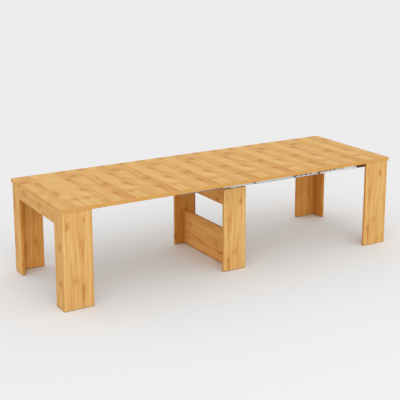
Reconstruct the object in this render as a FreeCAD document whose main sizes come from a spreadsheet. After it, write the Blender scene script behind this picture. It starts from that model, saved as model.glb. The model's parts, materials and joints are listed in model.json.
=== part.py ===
"""An extending console table at its full length: two end frames, a centre support, leaves and rails."""
import FreeCAD, Part
import os
import Sketcher

# Counts that set how many pieces there are
LEAVES = 7
RAILS = 9
MIDDLE_RAIL = (RAILS + 1) // 2

# Driving dimensions in millimetres
SIZES = {
    "table_width": 990.0,
    "table_height": 756.0,
    "top_thickness": 28.0,
    "leaf_width": 359.0,
    "half_top": 242.0,
    "seam_gap": 0.375,
    "board": 22.0,
    "end_overhang": 9.5,
    "side_overhang": 5.5,
    "long_panel": 231.0,
    "narrow_panel": 143.0,
    "apron_height": 106.0,
    "edge_ease": 0.8,
    "glide_height": 2.5,
    "glide_radius": 8.0,
    "glide_inset": 24.0,
    "centre_panel": 204.0,
    "centre_inset": 95.0,
    "lower_board_height": 298.0,
    "upper_board_height": 178.0,
    "block_height": 10.0,
    "block_length": 68.0,
    "rail_height": 40.0,
    "rail_width": 11.7,
    "rail_end_clear": 3.0,
    "slide_clear": 0.3,
    "tongue_reach": 6.0,
    "tongue_neck": 8.0,
    "tongue_head": 16.0,
    "head_depth": 2.5,
    "cap_length": 8.0,
    "middle_rail_shift": 90.0,
    "long_travel": 382.0,
    "right_travel_1": 300.0,
    "right_travel_3": 241.0,
    "strip_length": 278.0,
    "strip_height": 32.0,
}

doc = FreeCAD.newDocument("ConsoleTable")
sheet = doc.addObject("Spreadsheet::Sheet", "dim")
for row, (name, value) in enumerate(SIZES.items(), start=1):
    sheet.set(f"A{row}", name)
    sheet.set(f"B{row}", str(value))
    sheet.setAlias(f"B{row}", name)
doc.recompute()

# Places worked out from the driving dimensions; the origin is on the floor under the table's middle
UNDERSIDE = "(dim.table_height - dim.top_thickness)"
LEAF_PITCH = "(dim.leaf_width + dim.seam_gap)"
HALF_TOP_INNER = f"({LEAVES} * {LEAF_PITCH} + dim.seam_gap) / 2"
LEG_END = f"({HALF_TOP_INNER} + dim.half_top - dim.end_overhang)"
LEG_SIDE = "(dim.table_width / 2 - dim.side_overhang)"
LEG_HEIGHT = f"({UNDERSIDE} - dim.glide_height)"
CENTRE_SIDE = "(dim.table_width / 2 - dim.centre_inset)"
CENTRE_TOP = f"({UNDERSIDE} - dim.rail_height - dim.block_height)"
RAIL_BOTTOM = f"({UNDERSIDE} - dim.rail_height)"
RAIL_PITCH = "(dim.rail_width + dim.slide_clear)"
CLOSING_TRAVEL = f"({LEAVES} * {LEAF_PITCH} / 2)"
RAIL_LENGTH = (
    "(2 * (dim.half_top - dim.end_overhang - dim.board) + dim.seam_gap - 2 * dim.rail_end_clear)"
)
BAR_LENGTH = f"({RAIL_LENGTH} - 2 * dim.cap_length)"

LEFT_RIGHT = {"left": -1, "right": 1}
NEAR_FAR = {"near": -1, "far": 1}
nodes = []


def place(piece, x, y, z, turn=0):
    """Binds a piece's position to expressions, turned by some degrees about the vertical."""
    piece.Placement = FreeCAD.Placement(
        FreeCAD.Vector(), FreeCAD.Rotation(FreeCAD.Vector(0, 0, 1), turn)
    )
    for axis, expression in zip("xyz", (x, y, z)):
        piece.setExpression(f"Placement.Base.{axis}", expression)


def node(piece, label):
    """Names a finished piece and lists it as a node of the table."""
    piece.Label = label
    nodes.append(piece)


def sketch_on(body, role):
    """A new sketch on one of the body's own origin planes."""
    sketch = body.newObject("Sketcher::SketchObject", f"{body.Name}_outline")
    plane = next(f for f in body.Origin.OriginFeatures if f.Role == role)
    sketch.AttachmentSupport = [(plane, "")]
    sketch.MapMode = "FlatFace"
    return sketch


def draw_outline(sketch, points):
    """Draws a closed outline whose corners are bound to (x, y) expressions; "0" lies on an axis."""
    spots = [
        FreeCAD.Vector(*(float(sheet.evalExpression(e)) for e in point)) for point in points
    ]
    for i, start in enumerate(spots):
        sketch.addGeometry(Part.LineSegment(start, spots[(i + 1) % len(spots)]))
    for i, point in enumerate(points):
        sketch.addConstraint(Sketcher.Constraint("Coincident", i, 2, (i + 1) % len(points), 1))
        for kind, axis, expression in zip(("DistanceX", "DistanceY"), (-2, -1), point):
            if expression == "0":
                sketch.addConstraint(Sketcher.Constraint("PointOnObject", i, 1, axis))
                continue
            value = float(sheet.evalExpression(expression))
            index = sketch.addConstraint(Sketcher.Constraint(kind, -1, 1, i, 1, value))
            sketch.setExpression(f"Constraints[{index}]", expression)


def board(label, size, x, y, bottom):
    """A board with eased edges, given its three size expressions and the middle of its underside."""
    length, width, height = size
    body = doc.addObject("PartDesign::Body", label)
    sketch = sketch_on(body, "XY_Plane")
    draw_outline(sketch, [("0", "0"), (length, "0"), (length, width), ("0", width)])
    pad = body.newObject("PartDesign::Pad", f"{label}_blank")
    pad.Profile = sketch
    pad.setExpression("Length", height)
    ease = body.newObject("PartDesign::Chamfer", f"{label}_edges")
    ease.Base = (pad, [""])
    ease.UseAllEdges = True
    ease.setExpression("Size", "dim.edge_ease")
    place(body, f"{x} - {length} / 2", f"{y} - {width} / 2", bottom)
    node(body, label)


def slot_corners():
    """The T-shaped slot in a rail's outer face, from its lower lip to its upper lip."""
    outer = "(dim.tongue_reach + dim.rail_width)"
    lip = f"({outer} - dim.tongue_reach + dim.head_depth + 2 * dim.slide_clear)"
    floor = "dim.rail_width"
    corners = []
    for side in ("-", "+"):
        neck = f"(dim.rail_height / 2 {side} (dim.tongue_neck / 2 + dim.slide_clear))"
        head = f"(dim.rail_height / 2 {side} (dim.tongue_head / 2 + dim.slide_clear))"
        half = [(outer, neck), (lip, neck), (lip, head), (floor, head)]
        corners += half if side == "-" else half[::-1]
    return corners


def tongue_corners():
    """The T-shaped tongue on a rail's inner face, from its upper root to its lower root."""
    corners = []
    for side in ("+", "-"):
        neck = f"(dim.rail_height / 2 {side} dim.tongue_neck / 2)"
        head = f"(dim.rail_height / 2 {side} dim.tongue_head / 2)"
        half = [("dim.tongue_reach", neck), ("dim.head_depth", neck), ("dim.head_depth", head), ("0", head)]
        corners += half if side == "+" else half[::-1]
    return corners


def rail_body(name, length, tongue, slot):
    """A bar of the rail's section, centred along the table, with its inner side towards -Y."""
    outer = "(dim.tongue_reach + dim.rail_width)"
    points = [("dim.tongue_reach", "0"), (outer, "0")]
    points += slot_corners() if slot else []
    points += [(outer, "dim.rail_height"), ("dim.tongue_reach", "dim.rail_height")]
    points += tongue_corners() if tongue else []
    body = doc.addObject("PartDesign::Body", name)
    sketch = sketch_on(body, "YZ_Plane")
    draw_outline(sketch, points)
    pad = body.newObject("PartDesign::Pad", f"{name}_bar")
    pad.Profile = sketch
    pad.Midplane = True
    pad.setExpression("Length", length)
    return body


def place_rail(body, number, depth, along):
    """Puts a rail's bar in its row: the rails step outwards from left to right, alike on both sides."""
    middle = f"({CENTRE_SIDE} - dim.board / 2 + {number - MIDDLE_RAIL} * {RAIL_PITCH})"
    origin = f"{depth} * ({middle} - dim.rail_width / 2 - dim.tongue_reach)"
    place(body, along, origin, RAIL_BOTTOM, turn=0 if depth > 0 else 180)


def stage_travels(side):
    """How far each stage of a side is drawn out of the one before it, from the middle rail outwards."""
    total = f"({CLOSING_TRAVEL} - {side} * dim.middle_rail_shift)"
    drawn = ["dim.long_travel"]
    if side > 0:
        drawn = ["dim.right_travel_1", "dim.long_travel", "dim.right_travel_3"]
    alike = MIDDLE_RAIL - 1 - len(drawn)
    share = f"({total} - {' - '.join(drawn)}) / {alike}"
    return drawn + [share] * alike


def rail_offset(number):
    """Where a rail's middle lies: the middle rail's own place and the travels of the stages up to it."""
    side = 1 if number > MIDDLE_RAIL else -1
    travels = stage_travels(side)[:abs(number - MIDDLE_RAIL)]
    return f"(dim.middle_rail_shift + {side} * ({' + '.join(['0'] + travels)}))"


def rail_stage(number):
    """The near and far rail of one stage; the moving stages between the frames have end caps."""
    slot = number < RAILS
    capped = 1 < number < RAILS
    x = rail_offset(number)
    caps = []
    for side, depth in NEAR_FAR.items():
        label = f"rail_{number}_{side}"
        bar = rail_body(label, BAR_LENGTH if capped else RAIL_LENGTH, tongue=number > 1, slot=slot)
        place_rail(bar, number, depth, x)
        node(bar, label)
        for end in LEFT_RIGHT.values() if capped else ():
            cap = rail_body(f"cap_{number}_{side}", "dim.cap_length", tongue=False, slot=slot)
            place_rail(cap, number, depth, f"{x} + {end} * ({BAR_LENGTH} + dim.cap_length) / 2")
            caps.append(cap)
    if caps:
        group(f"rail_{number}_caps", caps)


def group(label, pieces):
    """Like pieces that never move apart, as one node."""
    compound = doc.addObject("Part::Compound", label)
    compound.Links = pieces
    node(compound, label)


def glides(label, spots):
    """Round plastic glides under the boards, at (x, y) expressions."""
    discs = []
    for x, y in spots:
        disc = doc.addObject("Part::Cylinder", f"{label}_disc")
        disc.setExpression("Radius", "dim.glide_radius")
        disc.setExpression("Height", "dim.glide_height")
        place(disc, x, y, "0")
        discs.append(disc)
    group(label, discs)


def end_frame(name, end):
    """A half top on two L-shaped legs, with an apron and the strips that carry a rail on each side."""
    board(
        f"{name}_half_top",
        ("dim.half_top", "dim.table_width", "dim.top_thickness"),
        f"{end} * ({HALF_TOP_INNER} + dim.half_top / 2)", "0", UNDERSIDE,
    )
    narrow = "(dim.narrow_panel - dim.board)"
    across = f"{end} * ({LEG_END} - dim.board / 2)"
    spots = []
    for side, depth in NEAR_FAR.items():
        board(
            f"{name}_{side}_long_panel",
            ("dim.long_panel", "dim.board", LEG_HEIGHT),
            f"{end} * ({LEG_END} - dim.long_panel / 2)",
            f"{depth} * ({LEG_SIDE} - dim.board / 2)", "dim.glide_height",
        )
        board(
            f"{name}_{side}_narrow_panel",
            ("dim.board", narrow, LEG_HEIGHT),
            across, f"{depth} * ({LEG_SIDE} - dim.board - {narrow} / 2)", "dim.glide_height",
        )
        for back in ("dim.glide_inset", "(dim.long_panel - dim.glide_inset)"):
            spots.append((f"{end} * ({LEG_END} - {back})", f"{depth} * ({LEG_SIDE} - dim.board / 2)"))
        spots.append((across, f"{depth} * ({LEG_SIDE} - dim.narrow_panel + dim.glide_inset)"))
        rail_strip(f"{name}_{side}_rail_strip", end, depth)
    board(
        f"{name}_apron",
        ("dim.board", f"(2 * ({LEG_SIDE} - dim.narrow_panel))", "dim.apron_height"),
        across, "0", f"{UNDERSIDE} - dim.apron_height",
    )
    glides(f"{name}_glides", spots)


def rail_strip(label, end, depth):
    """A wooden strip beside the frame's own rail: outside it on the right, inside it on the left."""
    steps = (RAILS - MIDDLE_RAIL) * end
    beside = f"({steps} * {RAIL_PITCH} + {end} * (dim.rail_width + dim.board) / 2)"
    board(
        label,
        ("dim.strip_length", "dim.board", "dim.strip_height"),
        f"{end} * ({LEG_END} - dim.board - dim.strip_length / 2)",
        f"{depth} * ({CENTRE_SIDE} - dim.board / 2 + {beside})", f"{UNDERSIDE} - dim.strip_height",
    )


def centre_support():
    """Two side panels joined by a lower and an upper board, with the middle rail on spacer blocks."""
    middle = f"({CENTRE_SIDE} - dim.board / 2)"
    between = f"(2 * ({CENTRE_SIDE} - dim.board))"
    spots = []
    blocks = []
    for side, depth in NEAR_FAR.items():
        board(
            f"centre_{side}_panel",
            ("dim.centre_panel", "dim.board", f"({CENTRE_TOP} - dim.glide_height)"),
            "0", f"{depth} * {middle}", "dim.glide_height",
        )
        for end in LEFT_RIGHT.values():
            spots.append((f"{end} * (dim.centre_panel / 2 - dim.glide_inset)", f"{depth} * {middle}"))
        block = doc.addObject("Part::Box", f"block_{side}")
        block.setExpression("Length", "dim.block_length")
        block.setExpression("Width", "dim.rail_width")
        block.setExpression("Height", "dim.block_height")
        place(block, "-dim.block_length / 2", f"{depth} * {middle} - dim.rail_width / 2", CENTRE_TOP)
        blocks.append(block)
    board("centre_lower_board", ("dim.board", between, "dim.lower_board_height"), "0", "0", "dim.glide_height")
    board(
        "centre_upper_board", ("dim.board", between, "dim.upper_board_height"),
        "0", "0", f"{CENTRE_TOP} - dim.upper_board_height",
    )
    group("centre_rail_blocks", blocks)
    glides("centre_glides", spots)


def leaves():
    """The loose leaves that lie on the rails between the half tops, counted from the left."""
    for number in range(1, LEAVES + 1):
        board(
            f"leaf_{number}",
            ("dim.leaf_width", "dim.table_width", "dim.top_thickness"),
            f"{number - (LEAVES + 1) / 2} * {LEAF_PITCH}", "0", UNDERSIDE,
        )


for frame_name, frame_end in LEFT_RIGHT.items():
    end_frame(frame_name, frame_end)
centre_support()
leaves()
for rail_number in range(1, RAILS + 1):
    rail_stage(rail_number)
doc.recompute()

for item in doc.Objects:
    if "Invalid" in item.State or "Error" in item.State:
        raise RuntimeError(f"{item.Label} failed: {item.State}")
for piece in nodes:
    if piece.Shape.isNull() or not piece.Shape.isValid():
        raise RuntimeError(f"{piece.Label} has no valid shape")

os.makedirs("parts", exist_ok=True)
for piece in nodes:
    piece.Shape.exportStep(f"parts/{piece.Label}.step")
print(len(nodes), "nodes written")
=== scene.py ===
import json
import math
from collections import namedtuple

import bmesh
import bpy
from bpy.types import Operator, Panel, PropertyGroup
from mathutils import Euler, Matrix, Vector


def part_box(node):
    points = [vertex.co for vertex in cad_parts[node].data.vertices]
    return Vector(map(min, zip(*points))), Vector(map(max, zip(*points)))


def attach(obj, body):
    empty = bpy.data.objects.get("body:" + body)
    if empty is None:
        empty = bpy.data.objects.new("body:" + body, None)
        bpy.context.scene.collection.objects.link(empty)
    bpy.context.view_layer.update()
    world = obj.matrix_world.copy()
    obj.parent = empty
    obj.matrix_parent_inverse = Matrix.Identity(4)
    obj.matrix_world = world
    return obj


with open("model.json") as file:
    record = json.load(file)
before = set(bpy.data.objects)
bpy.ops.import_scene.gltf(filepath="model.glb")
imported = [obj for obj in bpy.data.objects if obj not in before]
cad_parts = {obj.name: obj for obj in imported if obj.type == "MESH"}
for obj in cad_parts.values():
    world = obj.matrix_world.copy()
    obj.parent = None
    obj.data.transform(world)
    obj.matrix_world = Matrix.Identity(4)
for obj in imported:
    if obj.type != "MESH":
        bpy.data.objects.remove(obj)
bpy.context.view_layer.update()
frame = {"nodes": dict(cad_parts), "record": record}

bl_info = {
    "name": "Extending Console Table",
    "version": (1, 0, 0),
    "blender": (4, 5, 0),
    "location": "3D View > Sidebar > Console Table",
    "description": "Gives the boards, rails and small fittings of an extending console table their finishes",
    "category": "Object",
}

X_AXIS = Vector((1, 0, 0))
Y_AXIS = Vector((0, 1, 0))
Z_AXIS = Vector((0, 0, 1))

MM = 0.001
LEAF_COUNT = 7
RAIL_COUNT = 9
MIDDLE_RAIL = (RAIL_COUNT + 1) // 2
# Lowest and highest edge of the slot in a rail's outer face, above the floor.
SLOT_HEIGHTS = (0.6997, 0.7163)
# The rail whose dark grease, also painted shade, has run over the slot's lower edge, and how far down.
SMEARED_RAIL = 7
SMEAR = 0.0045
# Painted light and shade on each rail, counted from the left, as a share of the aluminium's brightness: the
# rails deep under the top are darkened, the outer ones brightened.
RAIL_PAINTED_LIGHT = (0.27, 0.27, 0.35, 0.45, 1.15, 1.40, 1.05, 1.40, 1.45)
# The rails with a gliding lip under their foot, and the lips' share of the aluminium's brightness, which is
# painted light and shade: the lip under rail 6 is darkened into a shadow line.
LIP_PAINTED_LIGHT = {4: 0.50, 5: 0.75, 6: 0.10, 7: 1.10}
# A lip's section, as shares of its width and depth: rounded below, with a groove along the middle.
LIP_SECTION = (
    (0.00, 0.00), (0.00, 0.70), (0.06, 0.90), (0.16, 1.00), (0.36, 1.00), (0.42, 0.72),
    (0.58, 0.72), (0.64, 1.00), (0.84, 1.00), (0.94, 0.90), (1.00, 0.70), (1.00, 0.00),
)
# Share of its depth that a lip keeps at its very ends.
LIP_END = 0.3
# A screw head's outline, as shares of its radius and height, then the arms of its cross (reach, half
# width, height) at the mouth and at the floor, and the turns of the cross.
SCREW_PROFILE = ((1.00, 0.00), (1.00, 0.34), (0.965, 0.56), (0.88, 0.76), (0.74, 0.91), (0.58, 1.00))
CROSS_MOUTH = (0.46, 0.10, 1.00)
CROSS_FLOOR = (0.30, 0.06, 0.38)
SCREW_STEPS = 36
FIRST_TURN = 0.35
TURN_STEP = 1.1
ENDS = ("left", "right")
SIDES = ("near", "far")
# A face counts as turned along an axis when its normal goes further than this along it.
FACING = 0.5
# Edges that turn more than this stay sharp on the small pieces.
SHARP_ANGLE = math.radians(35)

# A sheet of printed oak repeats across its width, on the table top once per leaf. A grain says how
# often its marks change along the wood, how far its plank edges, growth rings and knots sway (wave,
# wander, bend), how wide a streak is and how strong each kind of mark is. Its planks are (start
# across the sheet, tone, growth-ring centre), with start and centre as shares of its width.
Grain = namedtuple("Grain", "cross wave wander bend width lines broad streak cloud knot")
TOP_SHEET = 0.359375
TOP_GRAIN = Grain(
    cross=1.6, wave=0.17, wander=0.016, bend=(0.040, 0.075), width=0.022,
    lines=0.62, broad=0.62, streak=0.88, cloud=0.46, knot=0.47)
TOP_PLANKS = (
    (0.000, 0.61, 0.10),
    (0.268, 0.46, 0.34),
    (0.430, 0.49, 0.52),
    (0.570, 0.54, 0.62),
    (0.715, 0.42, 0.95),
)
# Knots are (across, along, half width, half length, strength), placed in millimetres on the sheet.
TOP_KNOTS = (
    (296, 446, 44, 64, 0.80), (280, 478, 24, 36, 0.65), (282, 212, 26, 44, 0.55),
    (106, 410, 26, 74, 0.75), (211, 812, 60, 68, 0.90), (118, 722, 34, 56, 0.70),
    (52, 200, 52, 52, 0.82), (138, 560, 24, 60, 0.25), (345, 955, 30, 50, 0.45),
)
# Paler and darker fields are (across, along, half width, half length, change of tone), placed likewise.
TOP_FIELDS = (
    (74, 290, 44, 80, 0.24), (36, 490, 40, 170, 0.15), (10, 80, 16, 110, 0.16),
    (80, 70, 36, 70, 0.05), (212, 510, 26, 150, 0.14), (236, 100, 34, 130, 0.12),
    (300, 640, 22, 80, 0.08), (100, 190, 22, 70, 0.08), (182, 190, 24, 80, 0.09),
    (314, 140, 56, 190, -0.26), (300, 420, 34, 90, -0.08), (140, 880, 46, 130, -0.22),
    (118, 40, 24, 80, -0.14), (338, 670, 30, 160, -0.11), (140, 370, 28, 110, -0.12),
    (170, 780, 44, 120, -0.12), (70, 710, 70, 60, -0.06),
)

# The sheet on the upright panels is laid from the top edge down on the near side.
PANEL_SHEET = 0.420
PANEL_GRAIN = Grain(
    cross=1.0, wave=0.075, wander=0.008, bend=(0.014, 0.045), width=0.018,
    lines=0.80, broad=0.72, streak=1.00, cloud=0.55, knot=0.56)
PANEL_PLANKS = (
    (0.000, 0.58, 0.10),
    (0.187, 0.49, 0.32),
    (0.349, 0.57, 0.37),
    (0.499, 0.46, 0.60),
    (0.680, 0.47, 0.84),
    (0.945, 0.55, 0.99),
)
PANEL_KNOTS = (
    (37, 103, 17, 27, 0.85), (166, 72, 10, 28, 0.50), (149, 304, 13, 64, 0.66),
    (154, 582, 13, 34, 0.95), (151, 625, 12, 70, 0.75), (55, 390, 11, 52, 0.45),
    (95, 520, 26, 38, 0.50), (6, 312, 7, 24, 0.60), (233, 549, 14, 42, 1.00),
    (230, 313, 9, 90, 0.50), (317, 262, 22, 36, 1.00), (322, 535, 22, 34, 1.00),
    (363, 395, 14, 50, 0.45),
)
PANEL_FIELDS = (
    (16, 460, 12, 340, 0.18), (194, 300, 22, 340, 0.13), (99, 285, 27, 190, 0.14),
    (218, 330, 14, 110, 0.11), (151, 420, 16, 420, -0.12), (65, 600, 30, 150, -0.09),
    (179, 585, 15, 70, -0.20), (52, 300, 16, 220, -0.07), (404, 670, 40, 90, -0.15),
    (304, 400, 14, 420, -0.08),
)

# A tint that changes nothing, and how the painted shade of the inner tint changes on the far panels, whose
# inner faces lie in different shade.
PLAIN = (1.0, 1.0, 1.0)
INNER_SHADE_CHANGES = {
    "left_far_long_panel": (1.15, 1.21, 1.29),
    "right_far_long_panel": (1.05, 1.05, 1.05),
    "left_far_narrow_panel": (0.95, 0.89, 0.75),
    "right_far_narrow_panel": (0.95, 0.89, 0.75),
    "centre_far_panel": (0.86, 0.77, 0.66),
}

# How far the leaves' tones swing from one to the next, and the step of that swing.
LEAF_SWING = 0.008
LEAF_STEP = 2.4
# Painted shade: the oak's redder, darker tint on the centre boards, which stand in the support's own shade.
CENTRE_SHADE_TINT = (1.115, 0.945, 0.765)

# Half the floor's side, the key's distance, what the front lamp is aimed at, and the camera's sensor
# in millimetres.
FLOOR_REACH = 400.0
KEY_DISTANCE = 6.0
FRONT_AIM = (0.0, 0.0, 0.5)
SENSOR_WIDTH = 36.0

# One helper for each kind of setting, named as bpy.props names its kinds.


def Colour(name, description, default):
    """A colour that can be set."""
    return bpy.props.FloatVectorProperty(
        name=name, description=description, subtype="COLOR", size=3, min=0, max=1, default=default)


def Share(name, description, default):
    """A share from none to all that can be set."""
    return bpy.props.FloatProperty(
        name=name, description=description, subtype="FACTOR", min=0, max=1, default=default)


def Length(name, description, default, **limits):
    """A length that can be set, in metres."""
    return bpy.props.FloatProperty(
        name=name, description=description, unit="LENGTH", default=default, **limits)


def Angle(name, description, default, **limits):
    """An angle that can be set, in radians."""
    return bpy.props.FloatProperty(
        name=name, description=description, unit="ROTATION", default=default, **limits)


class OakFinish(PropertyGroup):
    """Colours and surface of the printed oak boards."""

    light: Colour("Light wood", "Colour of the palest planks", (0.850, 0.555, 0.215))
    middle: Colour("Middle wood", "Colour of most of the sheet", (0.745, 0.430, 0.142))
    dark: Colour("Dark wood", "Colour of the darkest streaks", (0.608, 0.270, 0.060))
    knot: Colour("Knot", "Colour of the middle of a knot", (0.375, 0.142, 0.036))
    top_tint: Colour("Top tint", "Tint of the sheet on the table top", (0.992, 0.962, 0.895))
    end_tint: Colour("End tint", "Tint of the sheet on the narrow panels and aprons", (0.995, 0.970, 0.930))
    band: Colour("Side band", "Tint of the band glued to the top boards' long edges", (0.968, 0.908, 0.860))
    # Painted shade: the panel band darkens and reddens the panels' long edges, which lie in shade; the
    # narrow share sets how much of it the narrow panels' edges take.
    panel_band_and_shade: Colour(
        "Panel band", "Tint of the band glued to the panels' long edges", (0.890, 0.760, 0.590))
    end_band: Colour("End band", "Tint of the band glued to the boards' cut ends", (0.885, 0.800, 0.680))
    narrow_share: Share("Narrow share", "How strongly the panel band tints the narrow panels' edges", 0.15)
    # The panels' cut ends are darkened as bare board and as painted shade, for the gaps in which they lie.
    raw_end_and_shade: Colour("Raw end", "Tint of the bare cut ends of the panels", (0.420, 0.340, 0.270))
    # Painted shade: the inner tint darkens and reddens the faces turned to the table's middle, which lie in
    # shade.
    inner: Colour(
        "Inner faces", "Tint of the faces that are turned to the table's middle", (0.960, 0.790, 0.560))
    backing: Colour("Backing", "Colour of the backing sheet under the boards", (0.570, 0.515, 0.440))
    backing_share: Share("Backing share", "How far the backing sheet hides the oak", 1.0)
    # Painted shade: the rail strips keep only this share of light, as they lie in shade between the top and
    # the legs.
    strip_shade: Share("Strip stain", "Share of light that the stained rail strips keep", 0.17)
    roughness: Share("Roughness", "Roughness of the sheet between its pores", 0.50)
    specular: Share("Specular level", "Strength of the sheet's own shine", 0.08)
    pore_depth: Length("Pore depth", "Depth of the embossed grain", 0.00018, min=0)


class MetalFinish(PropertyGroup):
    """Colours and surface of the rails and screws."""

    rail: Colour("Rail metal", "Colour of the drawn aluminium", (0.600, 0.606, 0.615))
    # The slot grease colour is dark grease and painted shade on the slot's floor.
    grease_and_shade: Colour("Slot grease", "Colour of the greased floor of a rail's slot", (0.070, 0.066, 0.062))
    metallic: Share("Metallic", "Share of mirror-like metal in the dull drawn skin", 0.55)
    screw: Colour("Screw metal", "Colour of the plated screws", (0.620, 0.610, 0.580))
    roughness: Share("Roughness", "Roughness of the drawn metal", 0.44)
    line_depth: Length("Line depth", "Depth of the lines that drawing leaves along a rail", 0.00008, min=0)


class PlasticFinish(PropertyGroup):
    """Colour and surface of the moulded fittings."""

    # This plastic also colours the foot strips, which are painted contact shadow under the panels.
    colour: Colour("Plastic", "Colour of the caps, plugs, glides and foot strips", (0.018, 0.018, 0.019))
    roughness: Share("Roughness", "Roughness of the moulded skin", 0.52)
    grain_depth: Length("Grain depth", "Depth of the moulded grain", 0.00006, min=0)


class ScrewSizes(PropertyGroup):
    """Sizes of the pan-head screws that hold the rail strips."""

    head_radius: Length("Head radius", "Radius of a screw head", 0.0042, min=0.001)
    head_height: Length("Head height", "Height of a screw head", 0.0024, min=0.0005)
    per_strip: bpy.props.IntProperty(
        name="Screws per strip", description="Number of screws in each rail strip",
        min=2, max=6, default=3)
    end_margin: Length("End margin", "Distance of the outer screws from a strip's ends", 0.034, min=0.01)


class LipSizes(PropertyGroup):
    """Sizes of the gliding lips under the inner rails."""

    depth: Length("Depth", "How far a lip hangs below its rail", 0.0042, min=0.0005, max=0.006)
    width: Length("Width", "Width of a lip across its rail", 0.0090, min=0.002, max=0.010)
    inset: Length("Inset", "Distance of a lip from its rail's outer face", 0.0006, min=0, max=0.005)
    taper: Length("Taper", "Length over which a lip's ends rise", 0.0030, min=0.0005)
    plug: Length("Plug", "Length of the plastic plug at a lip's inner end", 0.0080, min=0.002)


class StripSizes(PropertyGroup):
    """Sizes of the black plastic strips under the panels' feet, which paint their contact shadow."""

    inset: Length("Inset", "Distance of a strip from its panel's faces", 0.0005, min=0.0002)
    wall: Length("Wall", "Thickness of a strip", 0.0020, min=0.0005, max=0.0024)
    clearance: Length("Clearance", "Gap above and below a strip", 0.0001, min=0, max=0.001)


class StageSettings(PropertyGroup):
    """Floor, light and camera."""

    floor: Colour("Floor", "Colour of the floor", (0.868, 0.869, 0.871))
    sky: Colour("Surround", "Colour of the light all round", (0.860, 0.861, 0.862))
    key_strength: bpy.props.FloatProperty(
        name="Key strength", description="Light that the wide soft key brings to a face turned to it",
        min=0, default=0.50)
    front_power: bpy.props.FloatProperty(
        name="Front power", description="Power of the soft lamp in front of the table",
        unit="POWER", min=0, default=18.0)
    front_size: Length("Front size", "Side of the soft lamp in front of the table", 3.5, min=0.1)
    front_place: bpy.props.FloatVectorProperty(
        name="Front place", description="Where the soft lamp in front of the table hangs",
        subtype="TRANSLATION", unit="LENGTH", size=3, default=(-0.6, -5.0, 3.4))
    key_spread: Angle(
        "Key spread", "Angle that the key covers in the sky", math.radians(60), min=0, max=math.pi)
    key_rise: Angle("Key rise", "Height of the key above the horizon", math.radians(42))
    key_turn: Angle("Key turn", "Turn of the key from the near side to the left end", math.radians(24))
    eye: bpy.props.FloatVectorProperty(
        name="Eye", description="Where the camera stands",
        subtype="TRANSLATION", unit="LENGTH", size=3, default=(-3.7988, -6.1767, 2.6122))
    pan: Angle("Pan", "Turn of the camera from the table's long axis", math.radians(31.054))
    tilt: Angle("Tilt", "Tilt of the camera below the horizon", math.radians(12.662))
    lens: bpy.props.FloatProperty(
        name="Lens", description="Focal length in millimetres",
        unit="CAMERA", min=1, default=82.628)
    shift: bpy.props.FloatProperty(
        name="Vertical shift", description="Share of the frame that the view is moved down",
        default=-0.15)


class TableSettings(PropertyGroup):
    """All finishes and sizes of the table's dressing."""

    oak: bpy.props.PointerProperty(type=OakFinish)
    metal: bpy.props.PointerProperty(type=MetalFinish)
    plastic: bpy.props.PointerProperty(type=PlasticFinish)
    screws: bpy.props.PointerProperty(type=ScrewSizes)
    lips: bpy.props.PointerProperty(type=LipSizes)
    foot_shade_strips: bpy.props.PointerProperty(type=StripSizes)
    stage: bpy.props.PointerProperty(type=StageSettings)


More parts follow.
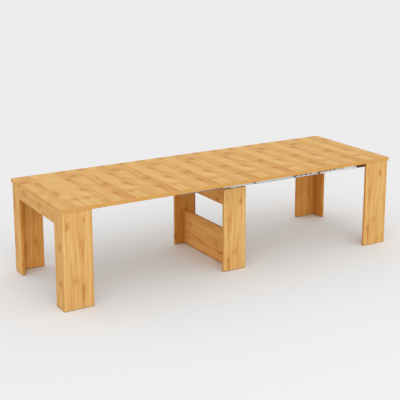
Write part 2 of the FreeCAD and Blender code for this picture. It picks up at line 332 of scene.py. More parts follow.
class Net:
    """Adds and joins the nodes of one node tree."""

    def __init__(self, tree):
        self.tree = tree

    def add(self, kind, feeds=None, **settings):
        made = self.tree.nodes.new(kind)
        for name, value in settings.items():
            setattr(made, name, value)
        self.feed(made, feeds or {})
        return made

    def feed(self, node, feeds):
        """Joins each socket or sets each value to the node's input of that name or number."""
        for name, value in feeds.items():
            if isinstance(value, bpy.types.NodeSocket):
                self.tree.links.new(value, node.inputs[name])
            else:
                node.inputs[name].default_value = value

    def group(self, tree, feeds):
        return self.add("ShaderNodeGroup", feeds, node_tree=tree).outputs

    def math(self, operation, first, second=0.0, third=0.0, clamp=False):
        feeds = {0: first, 1: second, 2: third}
        return self.add("ShaderNodeMath", feeds, operation=operation, use_clamp=clamp).outputs[0]

    def times(self, first, second):
        return self.math("MULTIPLY", first, second)

    def weigh(self, value, share, base, clamp=False):
        """Adds a share of the value to the base."""
        return self.math("MULTIPLY_ADD", value, share, base, clamp)

    def sway(self, value, amount, base):
        """Adds a noise's swing about its middle, times the amount, to the base."""
        return self.weigh(self.math("SUBTRACT", value, 0.5), amount, base)

    def vector(self, operation, first, second=(0.0, 0.0, 0.0)):
        made = self.add("ShaderNodeVectorMath", {0: first, 1: second}, operation=operation)
        scalar = operation in ("DOT_PRODUCT", "LENGTH")
        return made.outputs["Value" if scalar else "Vector"]

    def join(self, x=0.0, y=0.0, z=0.0):
        return self.add("ShaderNodeCombineXYZ", {0: x, 1: y, 2: z}).outputs[0]

    def split(self, value):
        return self.add("ShaderNodeSeparateXYZ", {0: value}).outputs

    def noise(self, place, scale=1.0, detail=2.0, roughness=0.5, distortion=0.0, output=0):
        """Noise with one scale all round, or with one for each axis."""
        if isinstance(scale, tuple):
            place, scale = self.vector("MULTIPLY", place, scale), 1.0
        feeds = {"Vector": place, "Scale": scale, "Detail": detail,
                 "Roughness": roughness, "Distortion": distortion}
        return self.add("ShaderNodeTexNoise", feeds).outputs[output]

    def spread(self, value, low, high, to_low=0.0, to_high=1.0, smooth=True):
        kind = "SMOOTHSTEP" if smooth else "LINEAR"
        feeds = {0: value, 1: low, 2: high, 3: to_low, 4: to_high}
        return self.add("ShaderNodeMapRange", feeds, interpolation_type=kind).outputs[0]

    def mix(self, share, first, second):
        return self.add("ShaderNodeMix", {0: share, 2: first, 3: second}).outputs[0]

    def tint(self, share, first, second, blend="MIX"):
        feeds = {0: share, 6: first, 7: second}
        return self.add("ShaderNodeMix", feeds, data_type="RGBA", blend_type=blend).outputs[2]

    def ramp(self, share, stops):
        made = self.add("ShaderNodeValToRGB", {0: share})
        band = made.color_ramp
        while len(band.elements) < len(stops):
            band.elements.new(1.0)
        for element, (place, colour) in zip(band.elements, stops):
            element.position = place
            element.color = (*colour, 1.0)
        return made.outputs[0]

    def shade(self, share, colour, tones):
        """A ramp of one colour's shades, which are (place, share of the colour)."""
        return self.ramp(share, [(place, Vector(colour) * tone) for place, tone in tones])


FLOAT = "NodeSocketFloat"
VECTOR = "NodeSocketVector"
SKIN = {"Color": "NodeSocketColor", "Roughness": FLOAT, "Height": FLOAT}


def new_group(name, inputs, outputs):
    """Starts a shader node group with these named sockets, and returns its net and ends."""
    group = bpy.data.node_groups.new(name, "ShaderNodeTree")
    for way, sockets in (("INPUT", inputs), ("OUTPUT", outputs)):
        for label, kind in sockets.items():
            group.interface.new_socket(label, in_out=way, socket_type=kind)
    net = Net(group)
    start = net.add("NodeGroupInput").outputs
    end = net.add("NodeGroupOutput")
    return net, start, end


# Half of the run between two planks, as a share of the sheet's width.
PLANK_RUN = 0.030
# How often the sheet's noises change across and along the wood, per metre.
BEND_SCALE = (16.0, 8.0, 1.0)
FEATHER_SCALE = (75.0, 6.0, 1.0)
PLANK_EDGE_SCALE = (6.0, 7.0, 1.0)
WANDER_SCALE = (9.0, 2.6, 1.0)
DEPTH_SCALE = (2.0, 1.7, 1.0)
PORE_SCALE = (1150.0, 42.0, 1.0)
CLOUD_SCALE = (18.0, 3.6)
LINE_SCALE = (230.0, 1.2)
BROAD_SCALE = (62.0, 1.9)
STREAK_ALONG = 2.1
RUB_AND_HIGHLIGHT_SCALE = 26.0
HAZE_SCALE = 7.0
# How far a knot's halo and core and a field reach, as shares of their half sizes.
HALO_REACH = (1.6, 0.0)
CORE_REACH = (0.75, 0.0)
FIELD_REACH = (1.45, 0.25)
CORE_STRENGTH = 0.32
# How the feather's noise thins a halo: noise from and to, strength from and to.
FEATHERING = (0.34, 0.62, 0.45, 1.15)
# The rings' depth under the face is a share of its noise and a start. A knot pushes the rings aside,
# and the streaks sway with their wander.
RING_DEPTH = (0.085, -0.012)
RING_PUSH = 0.012
STREAK_SWAY = 80.0
# Noise from and to for the pores, how the rings' lines thin them, and what they take from the tone.
PORE_RANGE = (0.60, 0.74)
PORE_THINNING = (0.62, 0.36, 0.25, 1.0)
PORE_SHADE = -0.16
# Distances from the edge over which it is rubbed and lightened by a painted highlight, and where the band
# meets the face.
RUB_AND_HIGHLIGHT_REACH = (0.0055, 0.0008)
RUB_AND_HIGHLIGHT_RANGE = (0.42, 0.72)
RUB_AND_HIGHLIGHT_SHARE = 0.35
SEAM_PLACE, SEAM_HALF, SEAM_SHARE = 0.0013, 0.00035, 0.20
# How a cut end's own tint fades through the board, as painted shade that darkens a top board's cut end
# towards its bottom: distance from and to, strength from and to.
END_FADE = (0.028, 0.011, 0.35, 1.0)
# What haze, pores and rubs add to the roughness, and what lines, pores and seam add to the height.
HAZE_ROUGH, PORE_ROUGH, RUB_ROUGH = 0.16, 0.14, 0.12
LINE_HEIGHT, PORE_HEIGHT, SEAM_HEIGHT = 0.35, -0.8, -0.8


def plank_stops(planks):
    """Ramp stops that hold each plank's tone and ring centre, with a short run between planks."""
    stops = []
    for place, tone, centre in planks:
        value = (tone, centre, 0.0)
        if stops:
            stops.append((place - PLANK_RUN, stops[-1][1]))
            stops.append((place + PLANK_RUN, value))
        else:
            stops.append((place, value))
    return stops


def reach_from(net, spot, middle_u, middle_v, half_width, half_length):
    """Distance from a middle on the sheet, as a share of an oval's half width and half length."""
    away = net.vector("SUBTRACT", spot, (MM * middle_u, MM * middle_v, 0.0))
    shares = (1 / (MM * half_width), 1 / (MM * half_length), 0.0)
    return net.vector("LENGTH", net.vector("MULTIPLY", away, shares))


def oak_sheet(name, width, grain, planks, knots, fields, side_band, end_band, oak):
    """The printed oak on a board: planks, growth rings, knots, pores, edge band and edge wear, with a
    painted highlight on worn edges and painted shade on edges, cut ends and inner faces.
    """
    group = bpy.data.node_groups.get(name)
    if group:
        return group
    inputs = dict.fromkeys(("Corner", "Across", "Along", "Board", "Shift", "Tint", "Inner"), VECTOR)
    net, start, end = new_group(name, {**inputs, "Band": FLOAT}, SKIN)

    # Place on the board, and which kind of face it is.
    here = net.add("ShaderNodeTexCoord").outputs
    place = net.vector("SUBTRACT", here["Object"], start["Corner"])
    across = net.vector("DOT_PRODUCT", place, start["Across"])
    along = net.vector("DOT_PRODUCT", place, start["Along"])
    through_axis = net.vector("CROSS_PRODUCT", start["Across"], start["Along"])
    through = net.math("ABSOLUTE", net.vector("DOT_PRODUCT", place, through_axis))
    facing_side = net.vector("DOT_PRODUCT", here["Normal"], start["Across"])
    facing_end = net.vector("DOT_PRODUCT", here["Normal"], start["Along"])
    side = net.math("GREATER_THAN", net.math("ABSOLUTE", facing_side), FACING)
    cut_end = net.math("GREATER_THAN", net.math("ABSOLUTE", facing_end), FACING)
    on_face = net.math("SUBTRACT", 1.0, net.math("MAXIMUM", side, cut_end))
    on_grain = net.math("SUBTRACT", 1.0, cut_end)

    # Place on the sheet, which goes on round the long edges. A cut end's grain runs along the edge.
    shift = net.split(start["Shift"])
    wrapped = net.weigh(side, through, across)
    on_width = net.math("ADD", net.mix(cut_end, wrapped, through), shift[0])
    on_length = net.math("ADD", net.mix(cut_end, along, across), shift[1])
    u = net.math("FLOORED_MODULO", on_width, width)
    v = net.math("MAXIMUM", on_length, 0.0)
    spot = net.join(u, v)

    # Knots are uneven: a wide soft halo and a small core. The fields are wider still.
    bend = net.vector("SUBTRACT", net.noise(spot, BEND_SCALE, output=1), (0.5, 0.5, 0.5))
    uneven = net.vector("ADD", spot, net.vector("MULTIPLY", bend, (*grain.bend, 0.0)))
    halo = core = field = 0.0
    for *oval, strength in knots:
        reach = reach_from(net, uneven, *oval)
        halo = net.math("MAXIMUM", halo, net.spread(reach, *HALO_REACH, 0.0, strength))
        core = net.math("MAXIMUM", core, net.spread(reach, *CORE_REACH, 0.0, CORE_STRENGTH * strength))
    for *oval, change in fields:
        reach = reach_from(net, uneven, *oval)
        field = net.math("ADD", field, net.spread(reach, *FIELD_REACH, 0.0, change))
    halo = net.times(halo, net.spread(net.noise(spot, FEATHER_SCALE), *FEATHERING))
    halo, core, field = (net.times(mark, on_grain) for mark in (halo, core, field))

    # Planks give the tone and the middle of the growth rings.
    edge_wave = net.noise(spot, PLANK_EDGE_SCALE, detail=3.0)
    on_planks = net.sway(edge_wave, grain.wave, net.math("DIVIDE", u, width))
    plank_ramp = net.ramp(on_planks, plank_stops(planks))
    plank = net.add("ShaderNodeSeparateColor", {0: plank_ramp}).outputs
    ring_middle = net.times(plank[1], width)
    wander = net.noise(spot, WANDER_SCALE, detail=3.0)
    aside = net.sway(wander, grain.wander, net.math("SUBTRACT", u, ring_middle))
    depth = net.weigh(net.noise(spot, DEPTH_SCALE, detail=1.0), *RING_DEPTH)
    ring = net.math("SQRT", net.math("ADD", net.times(aside, aside), net.times(depth, depth)))
    ring = net.weigh(halo, RING_PUSH, ring)

    def marks(on_rings, rate, layer, **kind):
        """Noise that changes slowly along the grain."""
        return net.noise(net.join(on_rings, net.times(v, rate * grain.cross), layer), **kind)

    lines = marks(net.times(ring, LINE_SCALE[0]), LINE_SCALE[1], layer=0.0, detail=3.0, roughness=0.6)
    broad = marks(net.times(ring, BROAD_SCALE[0]), BROAD_SCALE[1], layer=4.0)
    on_streaks = net.math("DIVIDE", u, grain.width)
    on_streaks = net.sway(wander, STREAK_SWAY * grain.wander, on_streaks)
    streak = marks(on_streaks, STREAK_ALONG, layer=9.0)
    cloud = net.noise(spot, (CLOUD_SCALE[0], CLOUD_SCALE[1] * grain.cross, 1.0), detail=3.0)

    # Fine pores lie along the grain, thickest on the rings' dark lines.
    pores = net.spread(net.noise(spot, PORE_SCALE, detail=1.0), *PORE_RANGE)
    pores = net.times(pores, net.spread(lines, *PORE_THINNING))

    # Tone of the wood, from dark to light.
    tone = net.math("ADD", plank[0], field)
    swings = ((lines, grain.lines), (broad, grain.broad), (streak, grain.streak), (cloud, grain.cloud))
    for mark, amount in swings:
        tone = net.sway(mark, amount, tone)
    tone = net.weigh(halo, -grain.knot, tone)
    tone = net.weigh(pores, PORE_SHADE, tone, clamp=True)
    colour = net.ramp(tone, ((0.0, oak.dark), (0.5, oak.middle), (1.0, oak.light)))
    colour = net.tint(core, colour, (*oak.knot, 1.0))

    # The edge band has its own tint, which on the panels' long edges is partly painted shade and on a top
    # board's cut end grows darker towards the bottom as painted shade. It meets the face in a fine line, and
    # the face is rubbed near the edge, where a painted highlight lightens it as well.
    board = net.split(start["Board"])
    from_side = net.math("MINIMUM", across, net.math("SUBTRACT", board[0], across))
    from_end = net.math("MINIMUM", along, net.math("SUBTRACT", board[1], along))
    from_edge = net.math("MINIMUM", from_side, from_end)
    rub_and_highlight_field = net.noise(here["Object"], RUB_AND_HIGHLIGHT_SCALE, detail=4.0, roughness=0.65)
    rub_and_highlight = net.times(net.spread(from_edge, *RUB_AND_HIGHLIGHT_REACH), net.spread(rub_and_highlight_field, *RUB_AND_HIGHLIGHT_RANGE))
    rub_and_highlight = net.times(rub_and_highlight, on_face)
    seam = net.times(net.math("COMPARE", from_edge, SEAM_PLACE, SEAM_HALF), on_face)
    end_shade = net.times(cut_end, net.spread(through, *END_FADE, smooth=False))
    band = net.tint(end_shade, (*side_band, 1.0), (*end_band, 1.0))
    banded = net.math("MAXIMUM", cut_end, net.times(side, start["Band"]))
    colour = net.tint(banded, colour, band, "MULTIPLY")
    colour = net.tint(net.times(rub_and_highlight, RUB_AND_HIGHLIGHT_SHARE), colour, (*oak.light, 1.0))
    colour = net.tint(net.times(seam, SEAM_SHARE), colour, (*oak.knot, 1.0))

    # Painted shade: faces turned to the table's middle take the darker, redder inner tint, and the underside
    # has a backing sheet.
    away = net.vector("MULTIPLY", net.vector("SIGN", here["Object"]), (1.0, 1.0, 0.0))
    outward = net.vector("DOT_PRODUCT", away, here["Normal"])
    inward = net.math("LESS_THAN", outward, -FACING)
    colour = net.tint(inward, colour, start["Inner"], "MULTIPLY")
    below = net.math("LESS_THAN", net.split(here["Normal"])[2], -FACING)
    below = net.times(below, on_face)
    colour = net.tint(net.times(below, oak.backing_share), colour, (*oak.backing, 1.0))
    # The board's own tint, which is painted shade on the centre boards and the rail strips.
    colour = net.tint(1.0, colour, start["Tint"], "MULTIPLY")

    # Satin lacquer: pores and rubbed edges are duller.
    haze = net.noise(here["Object"], HAZE_SCALE, detail=4.0)
    rough = net.sway(haze, HAZE_ROUGH, oak.roughness)
    rough = net.weigh(pores, PORE_ROUGH, rough)
    rough = net.weigh(rub_and_highlight, RUB_ROUGH, rough, clamp=True)
    height = net.weigh(pores, PORE_HEIGHT, net.times(lines, LINE_HEIGHT))
    height = net.weigh(seam, SEAM_HEIGHT, height)
    net.feed(end, {"Color": colour, "Roughness": rough, "Height": height})
    return net.tree


# How often the handling marks change on the rails, the plastic and the screws, per metre.
RAIL_MARKS, PLASTIC_MARKS, SCREW_MARKS = 18.0, 60.0, 240.0
# How scratches are drawn out, how often scratches and moulded grain change among the marks, and the
# noise from and to for rubs and scratches.
SCRATCH_SKEW = (1.0, 14.0, 9.0)
SCRATCH_SCALE = 3.0
GRAIN_SCALE = 24.0
HANDLED_RANGE = (0.40, 0.70)
SCRATCH_RANGE = (0.66, 0.74)


def handling_marks():
    """Faint rubs and fine scratches, for the metal and the plastic."""
    name = "handling_marks"
    group = bpy.data.node_groups.get(name)
    if group:
        return group
    net, start, end = new_group(
        name, {"Scale": FLOAT}, dict.fromkeys(("Rub", "Scratch", "Grain"), FLOAT))
    here = net.add("ShaderNodeTexCoord").outputs["Object"]
    sized = net.vector("MULTIPLY", here, net.join(start["Scale"], start["Scale"], start["Scale"]))
    cloud = net.noise(sized, detail=4.0, roughness=0.6)
    skewed = net.vector("MULTIPLY", sized, SCRATCH_SKEW)
    scratch = net.noise(skewed, SCRATCH_SCALE, distortion=0.6)
    net.feed(end, {"Rub": net.spread(cloud, *HANDLED_RANGE),
                   "Scratch": net.spread(scratch, *SCRATCH_RANGE),
                   "Grain": net.noise(sized, GRAIN_SCALE)})
    return net.tree


def new_material(name):
    """A material with its net, its shader and a bump that feeds the shader."""
    material = bpy.data.materials.new(name)
    material.use_nodes = True
    material.node_tree.nodes.clear()
    net = Net(material.node_tree)
    bump = net.add("ShaderNodeBump")
    shader = net.add("ShaderNodeBsdfPrincipled", {"Normal": bump.outputs[0]})
    net.add("ShaderNodeOutputMaterial", {"Surface": shader.outputs[0]})
    return material, net, shader, bump


def lay_skin(net, shader, bump, skin, strength, depth):
    """Gives the shader a skin's colour, roughness and height, with the height's strength and depth."""
    colour, rough, height = skin
    net.feed(shader, {"Base Color": colour, "Roughness": rough})
    net.feed(bump, {"Height": height, "Strength": strength, "Distance": depth})


def dress(node, material):
    """Gives a CAD node its one material."""
    slots = frame["nodes"][node].data.materials
    slots.clear()
    slots.append(material)


def dress_board(node, sheet_group, across, along, shift, oak, tint=PLAIN, band=1.0):
    """Lays oak on one board, with its own grain direction and its own part of the sheet."""
    low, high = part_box(node)
    corner = Vector(
        high[axis] if (across + along)[axis] < 0 else low[axis] for axis in range(3))
    size = high - low
    feeds = {"Corner": corner, "Across": across, "Along": along,
             "Board": (abs(size.dot(across)), abs(size.dot(along)), 0.0),
             "Shift": (*shift, 0.0), "Tint": tint, "Band": band,
             "Inner": Vector(oak.inner) * Vector(INNER_SHADE_CHANGES.get(node, PLAIN))}
    material, net, shader, bump = new_material("oak_" + node)
    skin = net.group(sheet_group, feeds)
    lay_skin(net, shader, bump, skin, strength=0.6, depth=oak.pore_depth)
    net.feed(shader, {"Specular IOR Level": oak.specular})
    dress(node, material)


def top_sheet(oak):
    return oak_sheet("oak_top_sheet", TOP_SHEET, TOP_GRAIN, TOP_PLANKS, TOP_KNOTS, TOP_FIELDS,
                     oak.band, oak.end_band, oak)


def panel_sheet(oak):
    return oak_sheet("oak_panel_sheet", PANEL_SHEET, PANEL_GRAIN, PANEL_PLANKS, PANEL_KNOTS, PANEL_FIELDS,
                     oak.panel_band_and_shade, oak.raw_end_and_shade, oak)


class DressTop(Operator):
    """Lays the oak sheet on the two half tops and the seven leaves"""

    bl_idname = "console_table.dress_top"
    bl_label = "Dress table top"

    def execute(self, context):
        oak = context.scene.console_table.oak
        sheet = top_sheet(oak)
        for number in range(1, LEAF_COUNT + 1):
            tint = Vector(oak.top_tint) * (1.0 + LEAF_SWING * math.sin(LEAF_STEP * number))
            dress_board(f"leaf_{number}", sheet, X_AXIS, Y_AXIS, (0.0, 0.0), oak, tint)
        for end, outward in zip(ENDS, (-X_AXIS, X_AXIS)):
            dress_board(f"{end}_half_top", sheet, outward, Y_AXIS, (0.0, 0.0), oak, oak.top_tint)
        return {"FINISHED"}


class DressEndFrames(Operator):
    """Lays the oak sheet on the end frames' panels and aprons"""

    bl_idname = "console_table.dress_end_frames"
    bl_label = "Dress end frames"

    def execute(self, context):
        oak = context.scene.console_table.oak
        upright = panel_sheet(oak)
        # The end, its way to the middle, where the sheet starts on its near panel, and how the sheet
        # runs and where it starts on its far panel.
        ends = (("left", X_AXIS, (0.0, 0.0), -Z_AXIS, (0.076, 0.034)),
                ("right", -X_AXIS, (-0.037, 0.0), Z_AXIS, (0.059, 0.034)))
        for end, across, near_start, far_along, far_start in ends:
            dress_board(f"{end}_near_long_panel", upright, across, -Z_AXIS, near_start, oak)
            dress_board(f"{end}_far_long_panel", upright, across, far_along, far_start, oak)
            for side, along, start in (("near", -Z_AXIS, (0.290, 0.0)), ("far", Z_AXIS, (0.045, 0.02))):
                dress_board(f"{end}_{side}_narrow_panel", upright, Y_AXIS, along, start, oak,
                            oak.end_tint, oak.narrow_share)
            dress_board(f"{end}_apron", top_sheet(oak), -Z_AXIS, -Y_AXIS, (0.080, 0.297), oak, oak.end_tint)
        return {"FINISHED"}


class DressCentreSupport(Operator):
    """Lays the oak sheet on the centre support's panels and boards"""

    bl_idname = "console_table.dress_centre_support"
    bl_label = "Dress centre support"

    def execute(self, context):
        oak = context.scene.console_table.oak
        upright = panel_sheet(oak)
        dress_board("centre_near_panel", upright, -X_AXIS, -Z_AXIS, (-0.010, -0.014), oak)
        dress_board("centre_far_panel", upright, X_AXIS, Z_AXIS, (0.035, 0.03), oak)
        for part, start in (("lower", (-0.065, 0.0)), ("upper", (0.165, 0.0))):
            dress_board(f"centre_{part}_board", upright, -Z_AXIS, -Y_AXIS, start, oak, CENTRE_SHADE_TINT)
        return {"FINISHED"}


class DressRailStrips(Operator):
    """Lays oak, darkened as painted shade, on the strips that carry the outer rails"""

    bl_idname = "console_table.dress_rail_strips"
    bl_label = "Dress rail strips"

    def execute(self, context):
        oak = context.scene.console_table.oak
        sheet = panel_sheet(oak)
        for end in ENDS:
            for side, start in zip(SIDES, ((0.09, 0.12), (0.15, 0.42))):
                dress_board(f"{end}_{side}_rail_strip", sheet, Z_AXIS, X_AXIS, start, oak, [oak.strip_shade] * 3)
        return {"FINISHED"}


# How often the metal's noises change along, across and up a rail, per metre.
DRAWN_SCALE = (2.2, 1500.0, 1500.0)
SLOW_SCALE = (3.0, 90.0, 90.0)
SMEAR_SCALE = (30.0, 40.0, 20.0)
# The metal's shades as (tone, share of its colour), what its lines add to the tone, and how dark and
# how strong a rub is.
METAL_SHADES = ((0.25, 0.86), (0.75, 1.08))
DRAWN_TONE = 0.5
METAL_RUB, METAL_RUB_SHARE = 0.80, 0.20
# Length of a dash of grease and painted shade with its gap, how far the dashes sway, the wave from and to at
# a dash's edge, and where the dashes fade out.
DASH_STEP = 0.048
DASH_SWAY = 5.0
DASH_EDGE = (-0.35, 0.15)
DASH_FADE = (0.175, 0.150)
# What lines, rubs and grease add to the metal's roughness, and what scratches add to its height.
DRAWN_ROUGH, WORN_ROUGH, GREASE_ROUGH = 0.16, 0.10, -0.12
SCRATCH_HEIGHT = -0.5


def drawn_metal(metal):
    """Drawn aluminium: lines along the rail, dull patches, scratches, each rail's painted light and shade,
    and grease in the slot that is also painted shade.
    """
    name = "drawn_metal"
    group = bpy.data.node_groups.get(name)
    if group:
        return group
    inputs = dict.fromkeys(("Tone", "Grease", "Smear", "Start", "Way"), FLOAT)
    net, start, end = new_group(name, inputs, SKIN)
    marks = net.group(handling_marks(), {"Scale": RAIL_MARKS})
    here = net.add("ShaderNodeTexCoord").outputs
    place = here["Object"]
    x, y, z = net.split(place)
    drawn = net.noise(place, DRAWN_SCALE, detail=3.0)
    tone = net.sway(drawn, DRAWN_TONE, net.noise(place, SLOW_SCALE))
    colour = net.shade(tone, metal.rail, METAL_SHADES)
    worn = Vector(metal.rail) * METAL_RUB
    colour = net.tint(net.times(marks["Rub"], METAL_RUB_SHARE), colour, (*worn, 1.0))
    # The rail's tone is painted light and shade: darker for rails deep under the top.
    colour = net.tint(1.0, colour, net.join(start["Tone"], start["Tone"], start["Tone"]), "MULTIPLY")

    # Dark grease lies in dashes on the slot's floor, behind the inner end of a rail, and is also painted
    # shade in the slot. A smear lets it run over the slot's lower edge.
    low, high = SLOT_HEIGHTS
    inside = net.times(net.math("LESS_THAN", z, high),
                       net.math("GREATER_THAN", net.math("ADD", z, start["Smear"]), low))
    outward = net.times(net.math("SIGN", y), net.split(here["Normal"])[1])
    slot_floor = net.times(inside, net.math("GREATER_THAN", outward, FACING))
    run = net.times(net.math("SUBTRACT", x, start["Start"]), start["Way"])
    smear = net.noise(place, SMEAR_SCALE)
    dash = net.math("SINE", net.sway(smear, DASH_SWAY, net.times(run, 2 * math.pi / DASH_STEP)))
    dash = net.times(net.spread(dash, *DASH_EDGE), net.spread(run, *DASH_FADE))
    greased_and_shaded = net.times(net.times(slot_floor, dash), start["Grease"])
    colour = net.tint(greased_and_shaded, colour, (*metal.grease_and_shade, 1.0))

    rough = net.weigh(drawn, DRAWN_ROUGH, metal.roughness - DRAWN_ROUGH / 2)
    rough = net.weigh(marks["Rub"], WORN_ROUGH, rough)
    rough = net.weigh(greased_and_shaded, GREASE_ROUGH, rough, clamp=True)
    height = net.weigh(marks["Scratch"], SCRATCH_HEIGHT, drawn)
    net.feed(end, {"Color": colour, "Roughness": rough, "Height": height})
    return net.tree


def metal_material(name, metal, tone, grease_and_shade=0.0, smear=0.0, start=0.0, way=1.0):
    """Drawn aluminium whose tone is painted light and shade, with grease, also painted shade, from the start
    of a rail's slot onwards.
    """
    material, net, shader, bump = new_material(name)
    feeds = {"Tone": tone, "Grease": grease_and_shade, "Smear": smear, "Start": start, "Way": way}
    skin = net.group(drawn_metal(metal), feeds)
    lay_skin(net, shader, bump, skin, strength=0.45, depth=metal.line_depth)
    net.feed(shader, {"Metallic": metal.metallic})
    return material


def rail_nodes(number):
    return [f"rail_{number}_{side}" for side in SIDES]


class DressRails(Operator):
    """Gives the telescopic rails and the blocks under them drawn aluminium, with painted light and shade on
    each rail
    """

    bl_idname = "console_table.dress_rails"
    bl_label = "Dress rails"

    def execute(self, context):
        metal = context.scene.console_table.metal
        # Each rail's tone is painted light and shade, darker deep under the top.
        for number, tone in enumerate(RAIL_PAINTED_LIGHT, start=1):
            low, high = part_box(f"rail_{number}_near")
            start, way = (low.x, 1.0) if number >= MIDDLE_RAIL else (high.x, -1.0)
            grease_and_shade = float(number < RAIL_COUNT)
            smear = SMEAR if number == SMEARED_RAIL else 0.0
            material = metal_material(f"aluminium_rail_{number}", metal, tone, grease_and_shade, smear, start, way)
            for node in rail_nodes(number):
                dress(node, material)
        # The blocks take the middle rail's painted light.
        dress("centre_rail_blocks", metal_material("aluminium_blocks", metal, RAIL_PAINTED_LIGHT[MIDDLE_RAIL - 1]))
        return {"FINISHED"}


# The plastic's shades as (rub, share of its colour), the grey and the strength of its scratches, and
# how far its grain changes its roughness.
PLASTIC_SHADES = ((0.0, 0.8), (1.0, 2.0))
SCRATCH_GREY = (0.11, 0.11, 0.11, 1.0)
SCRATCH_SHARE = 0.25
GRAIN_ROUGH = 0.18


def plastic_material(plastic):
    """Grained black plastic, rubbed paler in places and finely scratched."""
    name = "moulded_black_plastic"
    made = bpy.data.materials.get(name)
    if made:
        return made
    material, net, shader, bump = new_material(name)
    marks = net.group(handling_marks(), {"Scale": PLASTIC_MARKS})
    colour = net.shade(marks["Rub"], plastic.colour, PLASTIC_SHADES)
    colour = net.tint(net.times(marks["Scratch"], SCRATCH_SHARE), colour, SCRATCH_GREY)
    rough = net.weigh(marks["Grain"], GRAIN_ROUGH, plastic.roughness - GRAIN_ROUGH / 2)
    skin = (colour, rough, marks["Grain"])
    lay_skin(net, shader, bump, skin, strength=0.5, depth=plastic.grain_depth)
    return material


class DressPlastic(Operator):
    """Gives the rail caps and the glides grained black plastic"""

    bl_idname = "console_table.dress_plastic"
    bl_label = "Dress caps and glides"

    def execute(self, context):
        material = plastic_material(context.scene.console_table.plastic)
        for number in range(2, RAIL_COUNT):
            dress(f"rail_{number}_caps", material)
        for part in ("left", "centre", "right"):
            dress(f"{part}_glides", material)
        return {"FINISHED"}


def circle(form, radius, height, steps):
    """A closed ring of vertices."""
    ring = []
    for step in range(steps):
        angle = 2 * math.pi * step / steps
        ring.append(form.verts.new((radius * math.cos(angle), radius * math.sin(angle), height)))
    return ring


def cross_ring(form, reach, half, height):
    """The twelve corners of a cross, taken round once."""
    quarter = [(reach, -half), (reach, half), (half, half)]
    ring = []
    for turn in range(4):
        spin = Matrix.Rotation(turn * math.pi / 2, 2)
        for point in quarter:
            flat = spin @ Vector(point)
            ring.append(form.verts.new((flat.x, flat.y, height)))
    return ring


def wall(form, lower, upper):
    """Faces between two rings that have the same number of vertices."""
    count = len(lower)
    for step in range(count):
        after = (step + 1) % count
        form.faces.new((lower[step], lower[after], upper[after], upper[step]))


def finished_mesh(form, name, material):
    """Turns a form into a mesh of one material that is smooth but for its sharp edges."""
    bmesh.ops.recalc_face_normals(form, faces=form.faces)
    mesh = bpy.data.meshes.new(name)
    form.to_mesh(mesh)
    form.free()
    mesh.shade_smooth()
    mesh.set_sharp_from_angle(angle=SHARP_ANGLE)
    mesh.materials.append(material)
    return mesh


def add_object(context, name, data):
    """Adds an object with this data to the scene."""
    made = bpy.data.objects.new(name, data)
    context.scene.collection.objects.link(made)
    return made


def add_piece(context, name, mesh, body, place=(0.0, 0.0, 0.0), turn=(0.0, 0.0, 0.0)):
    """Adds a piece that rides on a body."""
    piece = add_object(context, name, mesh)
    piece.location = place
    piece.rotation_euler = turn
    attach(piece, body)


def carrier_of(node):
    """The body that carries a CAD node."""
    bodies = frame["record"]["behaviour"]["bodies"]
    return next(body for body, nodes in bodies.items() if node in nodes)


def screw_mesh(sizes, material):
    """A pan-head screw's head with a cross recess, standing on z = 0."""
    radius = sizes.head_radius
    height = sizes.head_height
    form = bmesh.new()
    rings = [circle(form, radius * out, height * up, SCREW_STEPS) for out, up in SCREW_PROFILE]
    for lower, upper in zip(rings, rings[1:]):
        wall(form, lower, upper)
    form.faces.new(reversed(rings[0]))
    mouth, floor = (cross_ring(form, radius * reach, radius * half, height * up)
                    for reach, half, up in (CROSS_MOUTH, CROSS_FLOOR))
    edges = []
    for ring in (rings[-1], mouth):
        for first, second in zip(ring, ring[1:] + ring[:1]):
            edges.append(form.edges.get((first, second)) or form.edges.new((first, second)))
    bmesh.ops.bridge_loops(form, edges=edges)
    wall(form, floor, mouth)
    form.faces.new(floor)
    return finished_mesh(form, "strip_screw_head", material)


# The plating's shades as (rub, share of its colour), its roughness as a share of the grain and a start,
# and the depth of its grain.
PLATING_SHADES = ((0.0, 0.85), (1.0, 1.1))
PLATING_ROUGH = (0.20, 0.26)
PLATING_GRAIN = 0.00003


def screw_material(metal):
    """Plated steel, dulled in places by handling."""
    material, net, shader, bump = new_material("plated_steel")
    marks = net.group(handling_marks(), {"Scale": SCREW_MARKS})
    colour = net.shade(marks["Rub"], metal.screw, PLATING_SHADES)
    rough = net.weigh(marks["Grain"], *PLATING_ROUGH)
    skin = (colour, rough, marks["Grain"])
    lay_skin(net, shader, bump, skin, strength=0.3, depth=PLATING_GRAIN)
    net.feed(shader, {"Metallic": 1.0})
    return material


class AddStripScrews(Operator):
    """Adds the pan-head screws under the rail strips"""

    bl_idname = "console_table.add_strip_screws"
    bl_label = "Add strip screws"

    def execute(self, context):
        settings = context.scene.console_table
        sizes = settings.screws
        mesh = screw_mesh(sizes, screw_material(settings.metal))
        for end in ENDS:
            for side in SIDES:
                low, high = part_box(f"{end}_{side}_rail_strip")
                run = high.x - low.x - 2 * sizes.end_margin
                for number in range(sizes.per_strip):
                    x = low.x + sizes.end_margin + run * number / (sizes.per_strip - 1)
                    turn = FIRST_TURN + TURN_STEP * number
                    add_piece(context, f"{end}_{side}_strip_screw_{number + 1}", mesh, f"{end}_frame",
                              (x, (low.y + high.y) / 2, low.z), (math.pi, 0.0, turn))
        return {"FINISHED"}


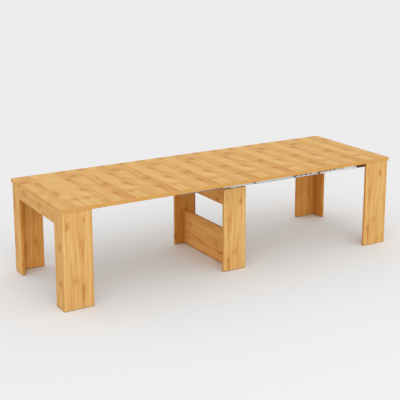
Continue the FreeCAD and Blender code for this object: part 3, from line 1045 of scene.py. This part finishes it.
def lip_mesh(name, start, end, outer, inward, foot, sizes, material):
    """A lip from one x to another under a rail's foot, with rising ends."""
    taper = sizes.taper
    stations = ((start, LIP_END), (start + taper, 1.0), (end - taper, 1.0), (end, LIP_END))
    form = bmesh.new()
    rings = []
    for x, share in stations:
        ring = []
        for across, down in LIP_SECTION:
            y = outer + inward * (sizes.inset + sizes.width * across)
            ring.append(form.verts.new((x, y, foot - sizes.depth * down * share)))
        rings.append(ring)
    for first, second in zip(rings, rings[1:]):
        wall(form, first, second)
    form.faces.new(reversed(rings[0]))
    form.faces.new(rings[-1])
    return finished_mesh(form, name, material)


class AddRailLips(Operator):
    """Adds the gliding lips under the inner rails, and plugs at the inner ends of most of them"""

    bl_idname = "console_table.add_rail_lips"
    bl_label = "Add rail lips"

    def execute(self, context):
        settings = context.scene.console_table
        sizes = settings.lips
        black = plastic_material(settings.plastic)
        for number, tone in LIP_PAINTED_LIGHT.items():
            # Each lip's tone is painted light and shade.
            skin = metal_material(f"aluminium_lip_{number}", settings.metal, tone)
            for node, inward in zip(rail_nodes(number), (1.0, -1.0)):
                low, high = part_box(node)
                outer = low.y if inward > 0 else high.y
                start, end = low.x, high.x
                if number == MIDDLE_RAIL:
                    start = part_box("centre_near_panel")[1].x
                pieces = [(f"{node}_lip", start, end, skin, "aluminium")]
                if number != MIDDLE_RAIL:
                    span = (start - sizes.plug, start) if number > MIDDLE_RAIL else (end, end + sizes.plug)
                    pieces.append((f"{node}_lip_plug", *span, black, "black_plastic"))
                for name, first, last, material, slot in pieces:
                    mesh = lip_mesh(name, first, last, outer, inward, low.z, sizes, material)
                    add_piece(context, name, mesh, carrier_of(node))
        return {"FINISHED"}


def strip_mesh(name, low, high, sizes, material):
    """A low hollow frame between the floor and a panel, just inside the panel's faces."""
    bottom = sizes.clearance
    top = low.z - sizes.clearance
    inner = sizes.inset + sizes.wall
    form = bmesh.new()
    rings = []
    for inset, z in ((sizes.inset, bottom), (sizes.inset, top), (inner, top), (inner, bottom)):
        left, right, front, back = low.x + inset, high.x - inset, low.y + inset, high.y - inset
        corners = ((left, front), (right, front), (right, back), (left, back))
        rings.append([form.verts.new((x, y, z)) for x, y in corners])
    for first, second in zip(rings, rings[1:] + rings[:1]):
        wall(form, first, second)
    return finished_mesh(form, name, material)


class AddFootStrips(Operator):
    """Adds thin black plastic strips under the panels' feet, as painted contact shadow"""

    bl_idname = "console_table.add_foot_strips"
    bl_label = "Add foot strips"

    def execute(self, context):
        settings = context.scene.console_table
        material = plastic_material(settings.plastic)
        nodes = ["centre_near_panel", "centre_far_panel", "centre_lower_board"]
        for end in ENDS:
            for side in SIDES:
                nodes += [f"{end}_{side}_{kind}_panel" for kind in ("long", "narrow")]
        for node in nodes:
            name = f"{node}_foot_strip"
            mesh = strip_mesh(name, *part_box(node), settings.foot_shade_strips, material)
            add_piece(context, name, mesh, carrier_of(node))
        return {"FINISHED"}


class SetStage(Operator):
    """Sets the floor, the soft light and the camera"""

    bl_idname = "console_table.set_stage"
    bl_label = "Set stage"

    def execute(self, context):
        stage = context.scene.console_table.stage
        scene = context.scene
        scene.view_settings.view_transform = "Standard"

        form = bmesh.new()
        bmesh.ops.create_grid(form, x_segments=1, y_segments=1, size=FLOOR_REACH)
        mesh = bpy.data.meshes.new("floor")
        form.to_mesh(mesh)
        form.free()
        floor = add_object(context, "floor", mesh)
        material, net, shader, bump = new_material("pale_floor")
        material.node_tree.nodes.remove(bump)
        net.feed(shader, {"Base Color": (*stage.floor, 1.0), "Roughness": 0.9, "Specular IOR Level": 0.0})
        mesh.materials.append(material)

        world = bpy.data.worlds.new("soft_surround")
        world.use_nodes = True
        world.node_tree.nodes["Background"].inputs["Color"].default_value = (*stage.sky, 1.0)
        scene.world = world

        lamp = bpy.data.lights.new("soft_key", "SUN")
        lamp.energy = stage.key_strength
        lamp.angle = stage.key_spread
        key = add_object(context, "soft_key", lamp)
        level = math.cos(stage.key_rise)
        towards = Vector((-math.sin(stage.key_turn) * level, -math.cos(stage.key_turn) * level,
                          math.sin(stage.key_rise)))
        key.location = KEY_DISTANCE * towards
        key.rotation_euler = (-towards).to_track_quat("-Z", "Y").to_euler()

        lamp = bpy.data.lights.new("soft_front", "AREA")
        lamp.energy = stage.front_power
        lamp.size = stage.front_size
        front = add_object(context, "soft_front", lamp)
        front.location = stage.front_place
        front.visible_camera = False
        aim = Vector(FRONT_AIM) - front.location
        front.rotation_euler = aim.to_track_quat("-Z", "Y").to_euler()

        view = bpy.data.cameras.new("photo_view")
        view.lens = stage.lens
        view.sensor_width = SENSOR_WIDTH
        view.shift_y = stage.shift
        view.clip_end = 2 * FLOOR_REACH
        camera = add_object(context, "photo_view", view)
        camera.location = stage.eye
        camera.rotation_euler = Euler((math.pi / 2 - stage.tilt, 0.0, -stage.pan), "XYZ")
        scene.camera = camera
        return {"FINISHED"}


STEPS = (
    DressTop, DressEndFrames, DressCentreSupport, DressRailStrips, DressRails, DressPlastic,
    AddStripScrews, AddRailLips, AddFootStrips, SetStage,
)


class TablePanel(Panel):
    """Lists the table's finishes and steps"""

    bl_idname = "CONSOLE_TABLE_PT_steps"
    bl_label = "Console Table"
    bl_space_type = "VIEW_3D"
    bl_region_type = "UI"
    bl_category = "Console Table"

    def draw(self, context):
        settings = context.scene.console_table
        for part in ("oak", "metal", "plastic", "screws", "lips", "foot_shade_strips", "stage"):
            values = getattr(settings, part)
            box = self.layout.box()
            box.label(text=part.replace("_", " ").capitalize())
            for name in values.bl_rna.properties.keys():
                if name not in ("name", "rna_type"):
                    box.prop(values, name)
        for step in STEPS:
            self.layout.operator(step.bl_idname)


CLASSES = (
    OakFinish, MetalFinish, PlasticFinish, ScrewSizes, LipSizes, StripSizes, StageSettings, TableSettings,
    *STEPS, TablePanel,
)


def register():
    for item in CLASSES:
        bpy.utils.register_class(item)
    bpy.types.Scene.console_table = bpy.props.PointerProperty(type=TableSettings)


def unregister():
    del bpy.types.Scene.console_table
    for item in reversed(CLASSES):
        bpy.utils.unregister_class(item)


def main():
    register()
    bpy.ops.console_table.set_stage()
    bpy.ops.console_table.dress_top()
    bpy.ops.console_table.dress_end_frames()
    bpy.ops.console_table.dress_centre_support()
    bpy.ops.console_table.dress_rail_strips()
    bpy.ops.console_table.dress_rails()
    bpy.ops.console_table.dress_plastic()
    bpy.ops.console_table.add_strip_screws()
    bpy.ops.console_table.add_rail_lips()
    bpy.ops.console_table.add_foot_strips()


if __name__ == "__main__":
    main()
